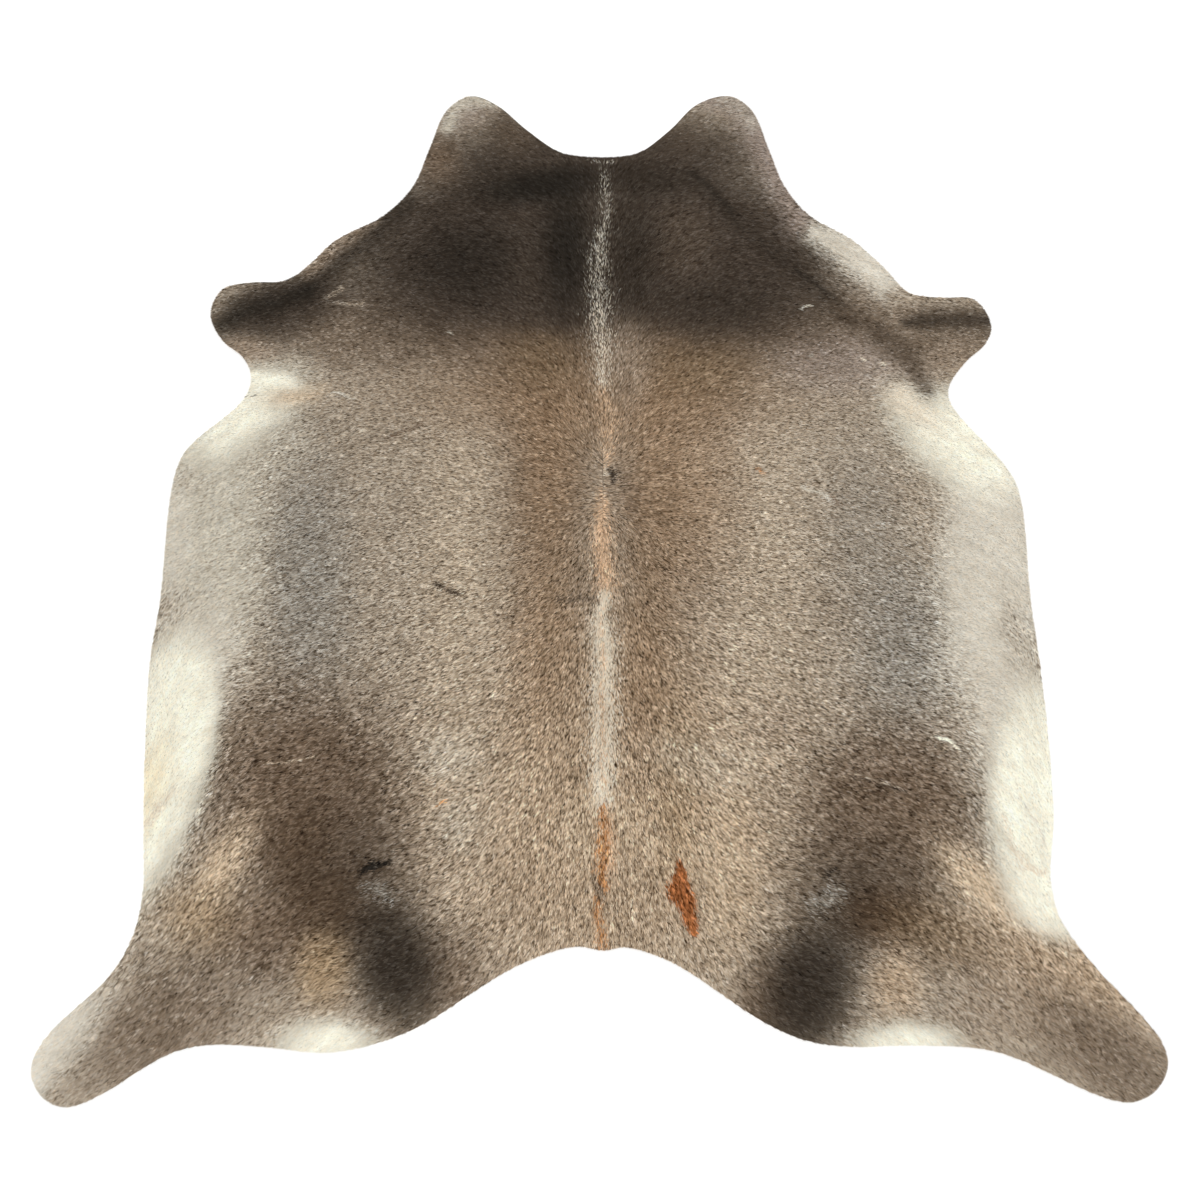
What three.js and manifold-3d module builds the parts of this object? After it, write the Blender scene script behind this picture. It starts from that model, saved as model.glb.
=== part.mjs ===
import * as THREE from "three";
import { mergeVertices } from "three/addons/utils/BufferGeometryUtils.js";
import Module from "manifold-3d";

// Cowhide rug lying flat, hair side up. Millimetres, +Z up, +Y towards the neck.

// Thickness
const LEATHER = 2.2;
const COAT_AT_RIM = 1.6;
const RIM_BAND = 95;
const SPINE_RISE = 0.7;
const SPINE_HALF_WIDTH = 38;
const SPINE_WANDER = 14;
const SPINE_WAVE = 950;

// Fineness of the solid
const STEPS_PER_LANDMARK = 5;
const RELIEF_PITCH = 40;
const RELIEF_MARGIN = 60;
const BLOCK_HEIGHT = 40;
const WELD = 1e-3;

// Cut edge of the hide, from the neck notch down both flanks to the dock, x and y of each side
const OUTLINE = [
  { place: "neck notch", left: [-34, 926], right: [46, 926] },
  { place: "notch corner", left: [-92, 939], right: [90, 938] },
  { place: "lobe, inner edge", left: [-172, 1004], right: [162, 1002] },
  { place: "lobe, inner shoulder", left: [-241, 1073], right: [227, 1076] },
  { place: "lobe tip", left: [-302, 1100], right: [298, 1100] },
  { place: "lobe, outer shoulder", left: [-355, 1060], right: [350, 1062] },
  { place: "neck side", left: [-392, 947], right: [387, 947] },
  { place: "neck base", left: [-424, 845], right: [417, 847] },
  { place: "neck flare", left: [-485, 766], right: [469, 766] },
  { place: "shoulder slope", left: [-588, 701], right: [561, 701] },
  { place: "shoulder point", left: [-654, 624], right: [627, 628] },
  { place: "fore leg root", left: [-696, 593], right: [677, 563] },
  { place: "fore leg top", left: [-768, 589], right: [747, 550] },
  { place: "fore leg corner", left: [-828, 573], right: [819, 546] },
  { place: "fore leg tip", left: [-850, 510], right: [850, 479] },
  { place: "fore leg heel", left: [-817, 442], right: [831, 432] },
  { place: "fore leg underside", left: [-768, 400], right: [788, 392] },
  { place: "armpit", left: [-746, 351], right: [742, 324] },
  { place: "elbow", left: [-758, 297], right: [746, 281] },
  { place: "flank top", left: [-866, 179], right: [836, 154] },
  { place: "flank corner", left: [-885, 105], right: [865, 87] },
  { place: "belly, front", left: [-881, -156], right: [862, -156] },
  { place: "belly, middle", left: [-886, -286], right: [865, -292] },
  { place: "belly, back", left: [-875, -453], right: [863, -459] },
  { place: "flank, low", left: [-858, -616], right: [853, -605] },
  { place: "stifle fold", left: [-845, -724], right: [835, -705] },
  { place: "stifle", left: [-851, -799], right: [844, -778] },
  { place: "thigh", left: [-882, -873], right: [891, -856] },
  { place: "hind foot, top", left: [-990, -990], right: [995, -986] },
  { place: "hind foot tip", left: [-1004, -1042], right: [1003, -1032] },
  { place: "hind foot heel", left: [-979, -1083], right: [976, -1073] },
  { place: "hind foot, low", left: [-937, -1100], right: [930, -1092] },
  { place: "hind shank", left: [-887, -1085], right: [878, -1082] },
  { place: "hind leg root", left: [-762, -1011], right: [731, -1017] },
  { place: "groin", left: [-694, -997], right: [667, -1002] },
  { place: "seat", left: [-601, -1000], right: [534, -998] },
  { place: "seat bulge", left: [-489, -1010], right: [445, -1000] },
  { place: "seat corner", left: [-406, -997], right: [362, -989] },
  { place: "rump, low", left: [-322, -966], right: [287, -956] },
  { place: "rump slope", left: [-154, -863], right: [136, -858] },
  { place: "dock", left: [-46, -828], right: [46, -829] },
];
const DOCK_POINT = [7, -835];

// Depth of the lying hair above the skin, from neck to rump, at the spine and at the side
const COAT = [
  { place: "neck", y: 1000, spine: 2.6, side: 2.3 },
  { place: "shoulder", y: 600, spine: 3.2, side: 2.6 },
  { place: "back", y: 50, spine: 3.0, side: 2.4 },
  { place: "loin", y: -450, spine: 3.3, side: 2.5 },
  { place: "rump", y: -950, spine: 3.6, side: 3.0 },
];
const SIDE_AT = 760;

// Soft folds, a ridge where the rise is above zero and a trough where it is below
const FOLDS = [
  { place: "neck crease, right", from: [150, 850], to: [330, 700], half: 34, rise: -1.3 },
  { place: "neck crease, right, lower", from: [330, 700], to: [520, 510], half: 36, rise: -1.1 },
  { place: "shoulder lip, right", from: [430, 720], to: [610, 640], half: 40, rise: 1.0 },
  { place: "neck crease, left", from: [-170, 850], to: [-400, 690], half: 34, rise: -0.9 },
  { place: "shoulder lip, left", from: [-430, 690], to: [-640, 580], half: 40, rise: 0.8 },
  { place: "fore leg ridge, left", from: [-620, 570], to: [-810, 480], half: 36, rise: 1.0 },
  { place: "fore leg ridge, right", from: [640, 520], to: [820, 500], half: 36, rise: 1.0 },
  { place: "elbow crease, left", from: [-740, 320], to: [-560, 380], half: 38, rise: -0.9 },
  { place: "elbow crease, right", from: [740, 300], to: [570, 370], half: 38, rise: -0.9 },
  { place: "belly pucker, left", from: [-870, -330], to: [-790, -520], half: 30, rise: -0.6 },
  { place: "belly pucker, right", from: [850, -380], to: [760, -560], half: 30, rise: -0.6 },
  { place: "stifle crease, left", from: [-845, -730], to: [-660, -640], half: 40, rise: -0.8 },
  { place: "stifle crease, right", from: [835, -710], to: [660, -620], half: 40, rise: -0.8 },
  { place: "hind leg ridge, left", from: [-720, -860], to: [-950, -1030], half: 44, rise: 0.9 },
  { place: "hind leg ridge, right", from: [720, -850], to: [950, -1020], half: 44, rise: 0.9 },
];

// Broad swells where the skin was fullest over the body
const SWELLS = [
  { place: "shoulder, left", at: [-360, 470], reach: [190, 230], rise: 0.8 },
  { place: "shoulder, right", at: [370, 450], reach: [190, 230], rise: 0.7 },
  { place: "ribs, left", at: [-430, -40], reach: [230, 260], rise: 0.5 },
  { place: "ribs, right", at: [420, -80], reach: [230, 260], rise: 0.6 },
  { place: "hip, left", at: [-330, -660], reach: [200, 190], rise: 0.9 },
  { place: "hip, right", at: [320, -640], reach: [200, 190], rise: 0.9 },
];

// Short lying hair: warm grey-brown, no shine
const COAT_COLOUR = 0x8f7f6d;
const COAT_ROUGHNESS = 0.85;

const wasm = await Module();
wasm.setup();

// Closed smooth curve through the landmarks, down the right side and back up the left
function cutEdge() {
  const right = OUTLINE.map((row) => row.right);
  const left = OUTLINE.map((row) => row.left).reverse();
  const landmarks = [...right, DOCK_POINT, ...left].map(([x, y]) => new THREE.Vector3(x, y, 0));
  const curve = new THREE.CatmullRomCurve3(landmarks, true, "centripetal");
  const count = landmarks.length * STEPS_PER_LANDMARK;
  const points = [];
  for (let i = 0; i < count; i++) {
    const p = curve.getPoint(i / count);
    points.push(new THREE.Vector2(p.x, p.y));
  }
  return points;
}

// Nearness of a point to a line from a to b, 1 on it and fading to 0 a few half widths away
function nearLine(x, y, [ax, ay], [bx, by], half) {
  const along = ((x - ax) * (bx - ax) + (y - ay) * (by - ay)) / ((bx - ax) ** 2 + (by - ay) ** 2);
  const t = THREE.MathUtils.clamp(along, 0, 1);
  const gap = Math.hypot(x - ax - t * (bx - ax), y - ay - t * (by - ay));
  return Math.exp(-((gap / half) ** 2));
}

// Shortest way from a point to the cut edge
function toEdge(x, y, edge) {
  let nearest = Infinity;
  edge.forEach((a, i) => {
    const b = edge[(i + 1) % edge.length];
    const along = ((x - a.x) * (b.x - a.x) + (y - a.y) * (b.y - a.y)) / a.distanceToSquared(b);
    const t = THREE.MathUtils.clamp(along, 0, 1);
    nearest = Math.min(nearest, Math.hypot(x - a.x - t * (b.x - a.x), y - a.y - t * (b.y - a.y)));
  });
  return nearest;
}

// Depth of the coat at a place, between the rows of its table
function coatDepth(x, y) {
  const last = COAT.length - 1;
  let i = COAT.findIndex((row) => y > row.y);
  i = THREE.MathUtils.clamp(i < 0 ? last : i, 1, last);
  const [upper, lower] = [COAT[i - 1], COAT[i]];
  const t = THREE.MathUtils.smoothstep(y, lower.y, upper.y);
  const spine = THREE.MathUtils.lerp(lower.spine, upper.spine, t);
  const side = THREE.MathUtils.lerp(lower.side, upper.side, t);
  return THREE.MathUtils.lerp(spine, side, THREE.MathUtils.smoothstep(Math.abs(x), 0, SIDE_AT));
}

// Height of the hair tips above the floor
function coatTop(x, y, edge, inside) {
  const spineX = SPINE_WANDER * Math.sin((2 * Math.PI * y) / SPINE_WAVE);
  let coat = coatDepth(x, y) + SPINE_RISE * Math.exp(-(((x - spineX) / SPINE_HALF_WIDTH) ** 2));
  for (const { from, to, half, rise } of FOLDS) {
    coat += rise * nearLine(x, y, from, to, half);
  }
  for (const { at, reach, rise } of SWELLS) {
    coat += rise * Math.exp(-(((x - at[0]) / reach[0]) ** 2) - ((y - at[1]) / reach[1]) ** 2);
  }
  const fromRim = inside ? THREE.MathUtils.smoothstep(toEdge(x, y, edge), 0, RIM_BAND) : 0;
  return LEATHER + THREE.MathUtils.lerp(COAT_AT_RIM, coat, fromRim);
}

// Whether a point lies within the cut edge
function isInside(x, y, edge) {
  let inside = false;
  edge.forEach((a, i) => {
    const b = edge[(i + 1) % edge.length];
    const crosses = a.y > y !== b.y > y && x < a.x + ((b.x - a.x) * (y - a.y)) / (b.y - a.y);
    inside = crosses ? !inside : inside;
  });
  return inside;
}

// Slab whose upper face carries the relief of the coat, larger than the hide all round
function reliefSlab(edge) {
  const box = new THREE.Box2().setFromPoints(edge).expandByScalar(RELIEF_MARGIN);
  const size = box.getSize(new THREE.Vector2());
  const middle = box.getCenter(new THREE.Vector2());
  const cells = [Math.round(size.x / RELIEF_PITCH), Math.round(size.y / RELIEF_PITCH)];
  const slab = new THREE.BoxGeometry(size.x, size.y, BLOCK_HEIGHT, ...cells, 1);
  slab.translate(middle.x, middle.y, 0);
  const at = slab.attributes.position;
  for (let i = 0; i < at.count; i++) {
    if (at.getZ(i) > 0) {
      const [x, y] = [at.getX(i), at.getY(i)];
      at.setZ(i, coatTop(x, y, edge, isInside(x, y, edge)));
    }
  }
  return slab;
}

// Closed solid for joining and cutting, from a geometry's welded points
function solidOf(geometry) {
  const bare = geometry.clone();
  bare.deleteAttribute("normal");
  bare.deleteAttribute("uv");
  const welded = mergeVertices(bare, WELD);
  return new wasm.Manifold(
    new wasm.Mesh({
      numProp: 3,
      vertProperties: new Float32Array(welded.attributes.position.array),
      triVerts: new Uint32Array(welded.index.array),
    }),
  );
}

// Geometry of a finished solid, its box centred over the origin
function geometryOf(solid) {
  const mesh = solid.getMesh();
  const geometry = new THREE.BufferGeometry();
  geometry.setAttribute("position", new THREE.BufferAttribute(mesh.vertProperties, mesh.numProp));
  geometry.setIndex(new THREE.BufferAttribute(mesh.triVerts, 1));
  geometry.computeBoundingBox();
  const middle = geometry.boundingBox.getCenter(new THREE.Vector3());
  geometry.translate(-middle.x, -middle.y, 0);
  geometry.computeVertexNormals();
  return geometry;
}

// Hide: the outline stood up from the floor and trimmed to the height of the coat
const edge = cutEdge();
const block = new THREE.ExtrudeGeometry(new THREE.Shape(edge), { depth: BLOCK_HEIGHT, bevelEnabled: false });
const hideSolid = solidOf(block).intersect(solidOf(reliefSlab(edge)));

const coat = new THREE.MeshStandardMaterial({ color: COAT_COLOUR, roughness: COAT_ROUGHNESS, metalness: 0 });
const hide = new THREE.Mesh(geometryOf(hideSolid), coat);
hide.name = "hide";

const rug = new THREE.Group();
rug.name = "cowhide_rug";
rug.add(hide);

export default rug;
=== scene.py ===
"""Cowhide rug: skin, lying coat and studio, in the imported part's frame. Metres, +Z up, +Y to the neck."""
import math
from types import SimpleNamespace

import bpy
import numpy as np
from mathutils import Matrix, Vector
from mathutils.bvhtree import BVHTree
from mathutils.geometry import delaunay_2d_cdt


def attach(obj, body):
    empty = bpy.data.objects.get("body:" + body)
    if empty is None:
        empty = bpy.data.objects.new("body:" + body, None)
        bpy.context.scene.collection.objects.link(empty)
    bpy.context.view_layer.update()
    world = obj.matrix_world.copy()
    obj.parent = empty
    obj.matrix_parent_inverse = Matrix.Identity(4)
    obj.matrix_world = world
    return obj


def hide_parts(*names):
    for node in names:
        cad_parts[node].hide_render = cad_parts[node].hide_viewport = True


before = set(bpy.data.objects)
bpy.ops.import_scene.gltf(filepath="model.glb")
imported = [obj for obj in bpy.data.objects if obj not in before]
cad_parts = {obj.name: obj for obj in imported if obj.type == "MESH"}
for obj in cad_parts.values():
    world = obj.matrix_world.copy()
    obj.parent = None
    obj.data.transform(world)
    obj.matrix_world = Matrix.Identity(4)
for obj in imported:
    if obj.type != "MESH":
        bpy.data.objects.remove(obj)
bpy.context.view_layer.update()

MM = 0.001
SEED = 1907

# Skin: its share of the hide's full height, then pitches and places in millimetres
SKIN_SHARE = 0.52
SKIN_PITCH = 17.0
EDGE_PITCH = 6.0
FIELD_PITCH = 8.0
FIELD_MARGIN = 40.0
RELIEF_PITCH = 20.0
SPINE_X = 6.0

# Locks of lying hair, millimetres and degrees
LOCK_PITCH = 1.87
LOCK_INSET = 0.6
LOCK_VARIES = (0.8, 1.2)
LOCK_RISES = (0.6, 1.0)
LOCK_TURN, LOCK_ROLL = 6.0, 12.0
SHORTEST_LOCK = 2.0
LOWEST_HAIR = 0.3
OVERHANG = 2.0
SHOWN_AT = 0.7
WANDER = 3.0
COAT_BANDS = ("coat_neck", "coat_shoulder", "coat_ribs", "coat_loin", "coat_flank", "coat_rump")

# Short gaps between the locks: millimetres, degrees, and the tone at their middle, painted shade where the
# gap is dark and paler hairs where it is light
GAP_PITCH = 4.8
GAP_STRETCH = 0.6
GAP_HALF_WIDTH = 1.0
GAP_HALF_LENGTH = 3.1
GAP_DEEPEST = 1.6
GAP_TURN = 10.0
GAP_PARTING = 0.25
GAP_SHADE, GAP_LIGHT = -5.2, 3.0

# Tones of the coat
LUMINANCE = (0.2126, 0.7152, 0.0722)
SELF_SHADE = 0.2
TONES, ZONES = 24, 12
TONE_SPREAD = 0.38
TONE_TINT = np.array([0.9, 1.0, 1.12])
MIXING = 0.2
BRIGHTEST, BRIGHTEST_DARK = 0.6, 1.0
BRINDLE, BRINDLE_SIZE, BRINDLE_STEP, BRINDLE_STEPS = 0.16, 10.0, 6.0, 3
CLOUD, CLOUD_SIZE = 0.05, 60.0
WARMTH, WARMTH_TINT = 0.03, np.array([1.0, 0.0, -1.2])
WIDE_WARP, WIDE_WARP_SIZE = 5.0, 70.0
FINE_WARP, FINE_WARP_SIZE = 3.0, 24.0

# Studio: floor in metres, then lamps by name, strength, turn, tilt, spread
FLOOR_REACH, FLOOR_DROP = 40.0, 0.0005
SKY_STRENGTH = 0.7
LAMPS = [
    ("key", 1.7, -40.0, 42.0, 35.0),
    ("fill", 0.6, 140.0, 50.0, 60.0),
]

# View of the photo
VIEW_AIM = (0.0, -0.1555, 0.0)
VIEW_ELEVATION = 70.0
VIEW_DISTANCE = 2.55
VIEW_LENS = 38.13
VIEW_SENSOR = 36.0
PHOTO_FRAME = 1200

# Coat colours, as seen, 0 to 255
PALETTE = {
    "soot": (34, 30, 25),
    "charcoal": (50, 43, 36),
    "umber": (64, 55, 47),
    "sepia": (76, 60, 45),
    "bistre": (84, 72, 60),
    "walnut": (102, 85, 69),
    "olive": (112, 92, 69),
    "drab": (122, 107, 91),
    "brown": (130, 106, 82),
    "hazel": (148, 124, 99),
    "mauve": (140, 126, 115),
    "taupe": (144, 127, 109),
    "slate": (138, 131, 120),
    "ash": (160, 146, 128),
    "tan": (160, 136, 106),
    "fawn": (174, 151, 125),
    "wheat": (178, 161, 139),
    "buff": (190, 168, 141),
    "sand": (200, 178, 150),
    "silver": (196, 188, 171),
    "pearl": (214, 206, 190),
    "cream": (224, 211, 189),
    "straw": (241, 228, 196),
    "ivory": (244, 240, 221),
    "peach": (206, 172, 139),
    "ginger": (182, 128, 82),
    "rust": (160, 98, 58),
}
GROUND = "ash"

# The coat's markings as they stand in the photo, in pixels of its frame, painted in order.
# Soft patches: place, colour, u, v, reach across, reach down, turn, strength, edge
PATCHES = [
    # back and sides
    ("loin", "fawn", 605, 810, 195, 190, 0, 0.9, 2.0),
    ("back stripe, left", "wheat", 462, 600, 45, 230, 0, 0.8, 1.5),
    ("back stripe, right", "wheat", 762, 600, 45, 230, 0, 0.7, 1.5),
    ("saddle, left", "brown", 548, 480, 48, 130, 0, 0.9, 1.3),
    ("saddle low, left", "hazel", 548, 640, 40, 95, 0, 0.85, 1.3),
    ("saddle, right", "brown", 655, 500, 45, 150, 0, 0.85, 1.3),
    ("saddle wide, right", "hazel", 700, 490, 45, 110, 0, 0.7, 1.3),
    ("saddle low, right", "hazel", 642, 680, 34, 100, 0, 0.9, 1.3),
    ("grey side, left", "slate", 305, 580, 50, 140, 0, 0.9, 1.5),
    ("grey side, right", "slate", 910, 650, 55, 95, 0, 0.9, 1.6),
    ("grey side high, right", "slate", 866, 535, 40, 90, 0, 0.5, 1.5),
    ("pale side, left", "silver", 208, 540, 62, 128, 0, 0.95, 2.0),
    ("pale side, right", "pearl", 995, 560, 58, 160, -5, 0.95, 2.0),
    ("side rim, left", "pearl", 168, 535, 22, 100, 0, 0.6, 1.3),
    ("side shade high, left", "ash", 186, 478, 14, 16, 0, 0.4, 1.3),
    ("side shade low, left", "ash", 172, 608, 18, 20, 0, 0.45, 1.3),
    ("side shade, right", "ash", 1014, 632, 12, 34, 10, 0.6, 1.3),
    ("flank shade, right", "taupe", 775, 722, 30, 25, 0, 0.5, 1.3),
    ("loin shade, right", "tan", 678, 800, 24, 95, 0, 0.5, 1.3),
    ("loin light, left", "wheat", 472, 820, 36, 80, 0, 0.4, 1.3),
    ("croup light", "sand", 602, 828, 50, 42, 0, 0.4, 1.5),
    # flanks
    ("dark flank, left", "walnut", 303, 798, 104, 120, 0, 0.95, 2.2),
    ("dark flank, left, core", "sepia", 320, 884, 52, 90, 5, 0.97, 1.6),
    ("dark flank, left, inner", "bistre", 362, 895, 62, 85, 0, 0.85, 1.5),
    ("low flank, left", "walnut", 262, 938, 62, 48, -10, 0.9, 1.6),
    ("dark flank, right", "walnut", 890, 812, 95, 92, 0, 0.9, 2.2),
    ("dark flank, right, core", "bistre", 858, 895, 75, 60, 0, 0.92, 1.5),
    ("low flank, right", "sepia", 885, 920, 48, 32, 10, 0.9, 1.6),
    ("low thigh, right", "olive", 945, 938, 55, 36, -20, 0.75, 1.4),
    ("flank core low, left", "sepia", 332, 910, 34, 48, 0, 0.6, 1.4),
    ("loin edge, right", "buff", 728, 862, 32, 92, 0, 0.85, 1.5),
    ("loin grey high, left", "silver", 445, 757, 34, 24, 0, 0.35, 1.3),
    ("loin grey low, left", "silver", 455, 828, 22, 26, 0, 0.3, 1.3),
    ("loin grey, right", "silver", 700, 765, 55, 26, -15, 0.25, 1.3),
    ("hip fringe, left", "walnut", 448, 975, 38, 50, 20, 0.75, 1.5),
    ("hip, left", "charcoal", 398, 968, 46, 72, 15, 0.97, 1.7),
    ("hip fringe, right", "walnut", 772, 1000, 40, 55, -25, 0.85, 1.6),
    ("hip, right", "charcoal", 812, 990, 52, 78, -15, 0.97, 2.0),
    # legs
    ("leg, left", "drab", 165, 1026, 98, 60, 32, 0.97, 1.7),
    ("leg, right", "fawn", 1065, 975, 110, 62, -40, 0.85, 1.5),
    ("shank, right", "drab", 1108, 1052, 110, 42, -32, 0.95, 1.8),
    ("shank inner, right", "taupe", 985, 1005, 45, 40, 0, 0.5, 1.5),
    ("leg tip, left", "pearl", 40, 1058, 88, 27, 52, 1.0, 1.5),
    ("thigh, left", "buff", 222, 866, 20, 50, -30, 0.95, 1.2),
    ("thigh low, left", "tan", 195, 915, 40, 35, -20, 0.6, 1.2),
    ("thigh, right", "sand", 979, 884, 20, 50, 45, 0.95, 1.2),
    ("seat tan, left", "tan", 322, 975, 28, 36, 0, 0.85, 1.4),
    ("seat tan, right", "fawn", 897, 983, 24, 35, 0, 0.85, 1.3),
    ("seat white, left", "ivory", 325, 1044, 46, 22, 0, 0.9, 1.7),
    ("seat white, right", "ivory", 905, 1042, 48, 20, 0, 0.95, 1.7),
    # belly
    ("belly veil, left", "pearl", 212, 650, 30, 55, 0, 0.6, 1.3),
    ("belly, left", "ivory", 178, 708, 42, 76, -4, 1.0, 3.0),
    ("belly low, left", "ivory", 161, 804, 35, 102, -20, 0.97, 2.2),
    ("belly veil, right", "pearl", 1005, 720, 34, 80, -8, 0.7, 1.3),
    ("belly, right", "ivory", 1037, 796, 48, 112, -3, 1.0, 3.0),
    ("belly low, right", "ivory", 1052, 898, 34, 48, 35, 0.95, 2.0),
    ("belly yellow, left", "straw", 152, 785, 18, 50, -15, 0.8, 1.2),
    ("armpit veil, left", "silver", 262, 432, 45, 48, 30, 0.6, 1.5),
    ("armpit, left", "ivory", 244, 412, 72, 30, 38, 0.95, 1.6),
    ("armpit fold, left", "sand", 294, 397, 32, 10, 12, 0.8, 1.4),
    ("armpit white, left", "ivory", 268, 381, 32, 8, -8, 0.95, 1.6),
    ("armpit, right", "ivory", 962, 442, 76, 43, -36, 1.0, 1.9),
    # shoulders and neck
    ("withers", "brown", 600, 392, 200, 55, 0, 0.8, 1.6),
    ("shoulder fade", "walnut", 600, 325, 340, 52, 0, 0.9, 2.0),
    ("shoulder grey, left", "drab", 345, 335, 70, 40, 0, 0.8, 1.5),
    ("shoulder grey, right", "mauve", 850, 365, 75, 32, 0, 0.7, 1.5),
    ("armpit veil, right", "cream", 914, 408, 34, 15, -38, 0.85, 1.5),
    ("withers brown, left", "olive", 540, 358, 42, 34, 0, 0.6, 1.5),
    ("withers brown, right", "olive", 700, 368, 64, 32, 0, 0.65, 1.5),
    ("neck", "umber", 605, 154, 185, 44, 0, 0.97, 2.2),
    ("cape, left", "umber", 482, 245, 150, 92, 12, 1.0, 3.0),
    ("cape, right", "umber", 708, 250, 152, 92, -14, 1.0, 3.0),
    ("cape foot", "umber", 568, 293, 112, 45, 0, 0.95, 2.2),
    ("cape dark, left", "soot", 468, 262, 56, 44, 10, 0.65, 1.4),
    ("cape brown, left", "bistre", 530, 265, 20, 45, 0, 0.12, 1.4),
    ("cape dark, right", "charcoal", 712, 310, 68, 28, 0, 0.6, 1.5),
    ("cape brown, right", "bistre", 685, 240, 30, 35, 0, 0.5, 1.5),
    ("neck dark, left", "charcoal", 495, 182, 44, 22, 8, 0.65, 1.5),
    ("nape, left", "soot", 545, 187, 66, 18, 8, 0.95, 1.8),
    ("nape, right", "charcoal", 645, 180, 60, 18, -5, 0.9, 1.5),
    ("withers block, left", "soot", 566, 248, 30, 72, 0, 0.92, 1.4),
    ("withers block, right", "charcoal", 632, 258, 26, 72, 0, 0.95, 1.4),
    ("withers grey, right", "taupe", 628, 368, 24, 45, 0, 0.6, 1.6),
    ("lobe inner, left", "bistre", 514, 128, 28, 26, 0, 0.85, 1.5),
    ("lobe inner, right", "bistre", 686, 122, 24, 28, 0, 0.5, 1.5),
    ("lobe, left", "mauve", 460, 104, 32, 23, 20, 0.85, 1.4),
    ("lobe flank, left", "walnut", 438, 160, 22, 24, 20, 0.8, 1.3),
    ("foreleg, left", "umber", 282, 306, 78, 36, 18, 0.95, 2.0),
    ("foreleg rim, left", "taupe", 248, 350, 32, 13, -8, 0.9, 1.4),
    ("foreleg, right", "drab", 945, 330, 62, 42, 0, 0.9, 2.2),
    ("foreleg rim, right", "taupe", 950, 362, 40, 16, 20, 0.6, 1.4),
]

# Soft folds and rims: place, colour, path of (u, v, half width), strength, edge; the creases are painted
# shade of the folds, and the foreleg bands are darker hair with painted shade
FOLDS = [
    ("lobe rim, left", "silver", ((446, 130, 6), (455, 108, 9), (470, 98, 11), (490, 102, 7)), 0.75, 1.0),
    ("lobe rim, right", "mauve",
     ((712, 98, 12), (738, 106, 16), (755, 130, 16),
      (766, 156, 14), (782, 190, 13), (800, 222, 14)), 0.95, 1.1),
    ("lobe tip, right", "silver", ((722, 100, 8), (742, 108, 10), (752, 126, 8)), 0.3, 1.0),
    ("shoulder rim, right", "pearl",
     ((818, 236, 12), (845, 246, 17), (868, 264, 19), (890, 288, 14)), 0.95, 1.2),
    ("foreleg rim, right", "ash", ((895, 297, 9), (930, 300, 9), (985, 304, 8)), 0.9, 1.2),
    ("shoulder rim, left", "taupe", ((308, 276, 8), (332, 252, 10), (354, 236, 8), (378, 222, 4)), 0.85, 1.1),
    # Creases: painted shade along the neck and elbow folds, darkest in the thin crease lines
    ("neck crease, right", "charcoal",
     ((695, 176, 9), (735, 218, 11), (768, 248, 11),
      (800, 275, 14), (830, 303, 13), (850, 322, 7)), 0.6, 0.8),
    ("crease line, right", "soot", ((690, 172, 2), (712, 192, 3), (735, 214, 3)), 0.5, 1.0),
    ("crease line low, right", "soot", ((796, 272, 2), (825, 292, 3), (850, 312, 2)), 0.5, 1.0),
    ("elbow crease, right", "bistre",
     ((840, 312, 10), (872, 328, 15), (905, 354, 14), (928, 388, 11)), 0.85, 1.0),
    ("neck crease, left", "charcoal",
     ((408, 206, 13), (368, 240, 14), (332, 270, 12), (306, 295, 12)), 0.8, 1.0),
    # Foreleg bands: darker hair on the legs' fronts, deepened by painted shade of the ridges
    ("foreleg band, left", "soot",
     ((306, 290, 12), (270, 304, 15), (240, 313, 15), (222, 325, 12)), 0.8, 1.0),
    ("foreleg band, right", "charcoal", ((905, 323, 6), (930, 321, 12), (996, 321, 13)), 0.85, 0.9),
]

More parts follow.
